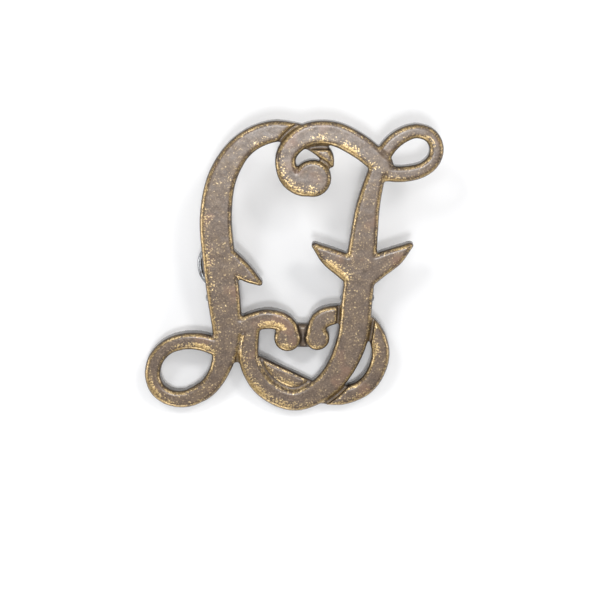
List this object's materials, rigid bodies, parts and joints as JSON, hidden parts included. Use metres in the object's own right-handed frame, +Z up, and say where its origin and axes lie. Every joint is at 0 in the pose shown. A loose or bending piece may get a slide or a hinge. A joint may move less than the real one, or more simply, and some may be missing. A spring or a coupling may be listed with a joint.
{
  "type": "cap badge",
  "caption": "Pierced scrollwork brass cap badge with corner loops and tendrils, soldered staple lugs on its back and sliding split pins.",
  "frame": {"origin": "centre of the bounding box on the surface that the badge lies on, face up, resting on its lugs and its bottom edge", "axes": "+X to the badge's right as the face is read, +Y towards the badge's top along the surface, +Z up out of the face"},
  "size_m": [0.0264, 0.0258, 0.0073],
  "materials": {
    "worn_brass": "brown-grey patina, worn to bright brass along the edges",
    "lug_wire": "drawn wire, dulled",
    "solder": "soft grey solder",
    "pin_steel": "plain bright wire"
  },
  "bodies": {
    "badge": {"badge_face": "worn_brass", "left_lug": "lug_wire", "left_lug_solder_west": "solder", "left_lug_solder_east": "solder", "right_lug": "lug_wire", "right_lug_solder_west": "solder", "right_lug_solder_east": "solder"},
    "left_pin": {"left_split_pin": "pin_steel"},
    "right_pin": {"right_split_pin": "pin_steel"}
  },
  "joints": [
    {"name": "left_pin_slide", "type": "slide", "parent": "badge", "child": "left_pin", "axis": [-0.2079, 0.9518, 0.2254], "range_m": [0, 0.0042]},
    {"name": "right_pin_slide", "type": "slide", "parent": "badge", "child": "right_pin", "axis": [0.0872, 0.9694, 0.2296], "range_m": [0, 0.0042]}
  ]
}
